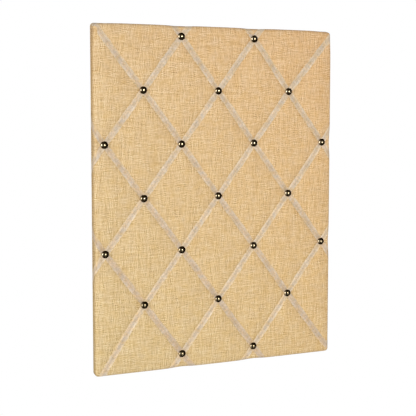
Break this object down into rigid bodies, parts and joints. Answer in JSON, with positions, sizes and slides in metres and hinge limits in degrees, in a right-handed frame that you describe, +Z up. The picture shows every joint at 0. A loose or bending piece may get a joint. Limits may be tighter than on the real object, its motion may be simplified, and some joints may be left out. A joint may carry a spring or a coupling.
{
  "type": "french memo board",
  "caption": "Padded linen-covered memo board with crossed ribbons held by domed tacks, to tuck photos and notes under; hangs on a wall by a D-ring.",
  "frame": {"origin": "on the wall plane, behind the middle of the board: the plane of the bumpers' rear faces", "axes": "+Z up, +Y towards the wall, so the front faces -Y; +X to the right as seen from the front"},
  "size_m": [0.4516, 0.0284, 0.6016],
  "materials": {
    "fibreboard": "raw medium-density fibreboard",
    "wadding": "soft white polyester wadding",
    "linen": "golden tan slubbed linen-look plain weave",
    "ribbon": "pale grey-beige woven ribbon with lighter selvedges",
    "bronze": "dark antique bronze plating, polished",
    "backing": "plain kraft backing paper",
    "steel": "bright zinc-plated steel",
    "felt": "dark pressed felt"
  },
  "bodies": {
    "board": {"core_board": "fibreboard", "wadding_pad": "wadding", "fabric_cover": "linen", "ribbon_falling_1": "ribbon", "ribbon_falling_2": "ribbon", "ribbon_falling_3": "ribbon", "ribbon_falling_4": "ribbon", "ribbon_falling_5": "ribbon", "ribbon_rising_1": "ribbon", "ribbon_rising_2": "ribbon", "ribbon_rising_3": "ribbon", "ribbon_rising_4": "ribbon", "ribbon_rising_5": "ribbon", "tack_row1_1": "bronze", "tack_row1_2": "bronze", "tack_row2_1": "bronze", "tack_row2_2": "bronze", "tack_row2_3": "bronze", "tack_row3_1": "bronze", "tack_row3_2": "bronze", "tack_row3_3": "bronze", "tack_row3_4": "bronze", "tack_row4_1": "bronze", "tack_row4_2": "bronze", "tack_row4_3": "bronze", "tack_row5_1": "bronze", "tack_row5_2": "bronze", "tack_row5_3": "bronze", "tack_row5_4": "bronze", "tack_row6_1": "bronze", "tack_row6_2": "bronze", "tack_row6_3": "bronze", "tack_row7_1": "bronze", "tack_row7_2": "bronze", "staple_1": "steel", "staple_2": "steel", "staple_3": "steel", "staple_4": "steel", "staple_5": "steel", "staple_6": "steel", "staple_7": "steel", "staple_8": "steel", "staple_9": "steel", "staple_10": "steel", "staple_11": "steel", "staple_12": "steel", "staple_13": "steel", "staple_14": "steel", "staple_15": "steel", "staple_16": "steel", "staple_17": "steel", "staple_18": "steel", "staple_19": "steel", "staple_20": "steel", "backing_sheet": "backing", "hanger_strap": "steel", "hanger_screw": "steel", "bumper_left": "felt", "bumper_right": "felt"},
    "ring": {"hanger_ring": "steel"}
  },
  "joints": [
    {"name": "ring_swing", "type": "hinge", "parent": "board", "child": "ring", "pos_m": [0, -0.0028, 0.26], "axis": [-1, 0, 0], "range_deg": [0, 175]}
  ]
}
